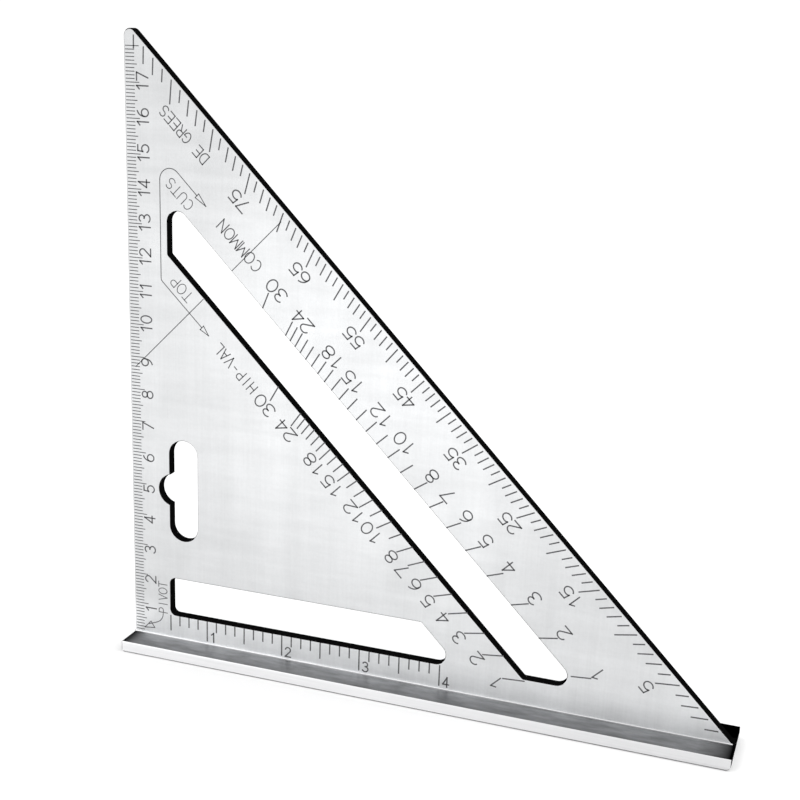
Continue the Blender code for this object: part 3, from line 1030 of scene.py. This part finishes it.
def guides():
    """The bracket, the pivot's arrow, the arrowheads, the two slanting lines and their words."""
    bracket = path((22.8, 139.4), arc((14.2, 143.3), 3.3, 45, 180),
                   arc((12.4, 114.7), 1.5, 180, 225), (24.1, 101.1))
    pivot_line = path((10.0, 7.6), arc((6.4, 7.6), 3.6, 0, -75)[1:], (5.0, 3.2))
    pivot_head = path((3.4, 1.8), (6.9, 2.2), (5.6, 4.2), (3.4, 1.8))
    strokes = [bracket * MM, pivot_line * MM, pivot_head * MM]
    strokes.append(arrowhead((25.6, 136.6), -45, 4.0, 0.8))
    strokes.append(arrowhead((26.3, 98.9), -45, 3.1, 0.8))
    strokes.append(np.array([(2.0, 87.0), (24.6, 109.6)]) * MM)
    strokes.append(np.array([(33.8, 118.8), (49.0, 134.0)]) * MM)
    strokes += lettering("CUTS", (17.2 * MM, 139.5 * MM), UP_THE_SLOPE, 3.2 * MM, 0.83)
    strokes += lettering("TOP", (17.6 * MM, 112.0 * MM), UP_THE_SLOPE, 3.3 * MM, 0.86)
    strokes += lettering("PIVOT", (10.0 * MM, 13.1 * MM), 90, 2.9 * MM, 0.76)
    return strokes


marks("inch_scale", inch_scale(), oxide)
marks("guide_marks", guides(), oxide, FINE_STROKE_WIDTH)

# %% [markdown]
# ## Scales on the back
# The square is turned over as often as not, so the leg scale and the degree scale are on
# the back too. The same functions draw them there, with the numbers mirrored so that they
# read from behind.

# %% Back scales
marks("leg_ticks_back", leg_ticks(), oxide, FINE_STROKE_WIDTH, side=-1)
marks("leg_numbers_back", leg_numbers(-1), oxide, side=-1)
marks("degree_scale_back", degree_scale(-1), oxide, side=-1)

# %% [markdown]
# ## The stage and the light
# The tool stands on a pale floor under an even, pale sky, with two large soft lamps, one
# to the left of the camera and one overhead. Satin metal shows whatever it faces, so the
# floor and the sky are what make the blade look bright.

# %% Stage and light
def pale_floor():
    """Matt, nearly white paint, with nothing on it to draw the eye."""
    material, tree, _ = new_finish("pale_floor")
    set_surface(tree, {"Base Color": linear("#fafafa"), "Roughness": 0.9, "Specular IOR Level": 0.0})
    return material


FLOOR_RADIUS = 30.0
FLOOR_DROP = 0.05 * MM  # keeps the floor clear of the fence's underside
SKY_STRENGTH = 1.1
ring = arc((0.0, 0.0), FLOOR_RADIUS, 0, 345)
floor_points = np.column_stack([ring, np.full(len(ring), -FLOOR_DROP)])
floor = make_piece("floor", floor_points, [list(range(len(ring)))], [pale_floor()], [0], [False])

world = bpy.data.worlds.new("pale_sky")
world.use_nodes = True
background = world.node_tree.nodes["Background"]
background.inputs["Color"].default_value = linear("#ffffff")
background.inputs["Strength"].default_value = SKY_STRENGTH
bpy.context.scene.world = world


def soft_lamp(name, place, size, power):
    """A square area lamp aimed at the middle of the tool."""
    lamp_data = bpy.data.lights.new(name, "AREA")
    lamp_data.size = size
    lamp_data.energy = power
    lamp = bpy.data.objects.new(name, lamp_data)
    bpy.context.scene.collection.objects.link(lamp)
    aim = Vector((cad_low + cad_high) / 2) - Vector(place)
    lamp.matrix_world = Matrix.Translation(place) @ aim.to_track_quat("-Z", "Y").to_matrix().to_4x4()


soft_lamp("key_lamp", (-0.9, -0.9, 1.1), 0.8, 3.0)
soft_lamp("top_lamp", (0.3, 0.3, 1.4), 1.0, 3.0)
bpy.context.scene.view_settings.view_transform = "Standard"
print("lamps:", [item.name for item in bpy.data.lights])
